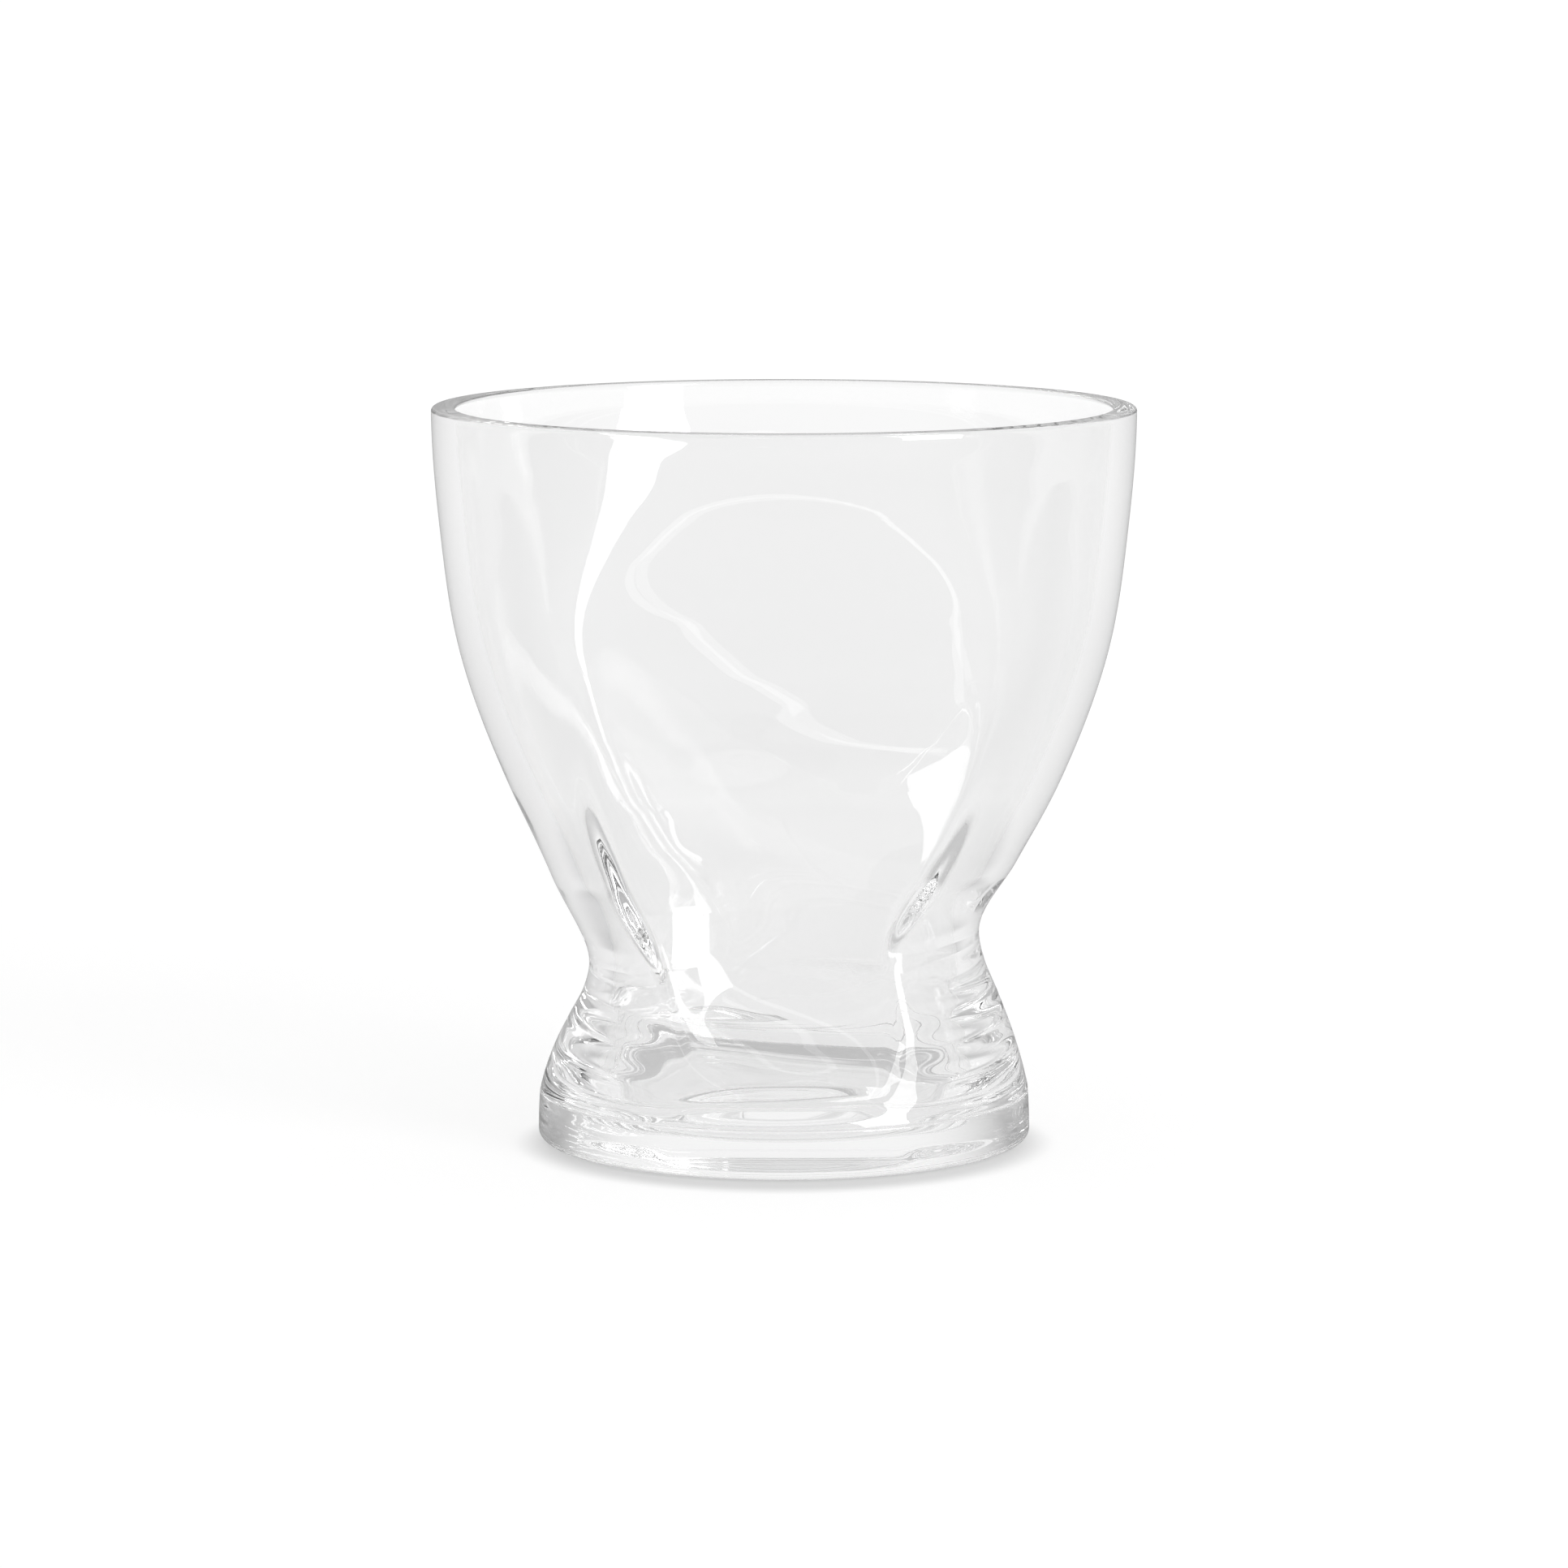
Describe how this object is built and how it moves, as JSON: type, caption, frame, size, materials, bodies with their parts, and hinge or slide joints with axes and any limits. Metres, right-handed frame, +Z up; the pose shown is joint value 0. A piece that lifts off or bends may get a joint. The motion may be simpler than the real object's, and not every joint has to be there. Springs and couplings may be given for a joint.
{
  "type": "mixing glass",
  "caption": "Clear glass mixing vessel with a round mouth, a front and a back pressed flat between two side pillars, a pinched waist and a flared foot with a dished top.",
  "frame": {"origin": "centre of the foot's underside, on the surface that the glass stands on", "axes": "+Z up through the mouth, +Y to the back; the two pressed sides face -Y and +Y, the two waist pillars stand at -X and +X"},
  "size_m": [0.12, 0.12, 0.126],
  "materials": {
    "clear_glass": "fire-polished clear soda-lime glass"
  },
  "bodies": {
    "root": {"pinched_bowl": "clear_glass", "foot_disc": "clear_glass"}
  },
  "joints": []
}
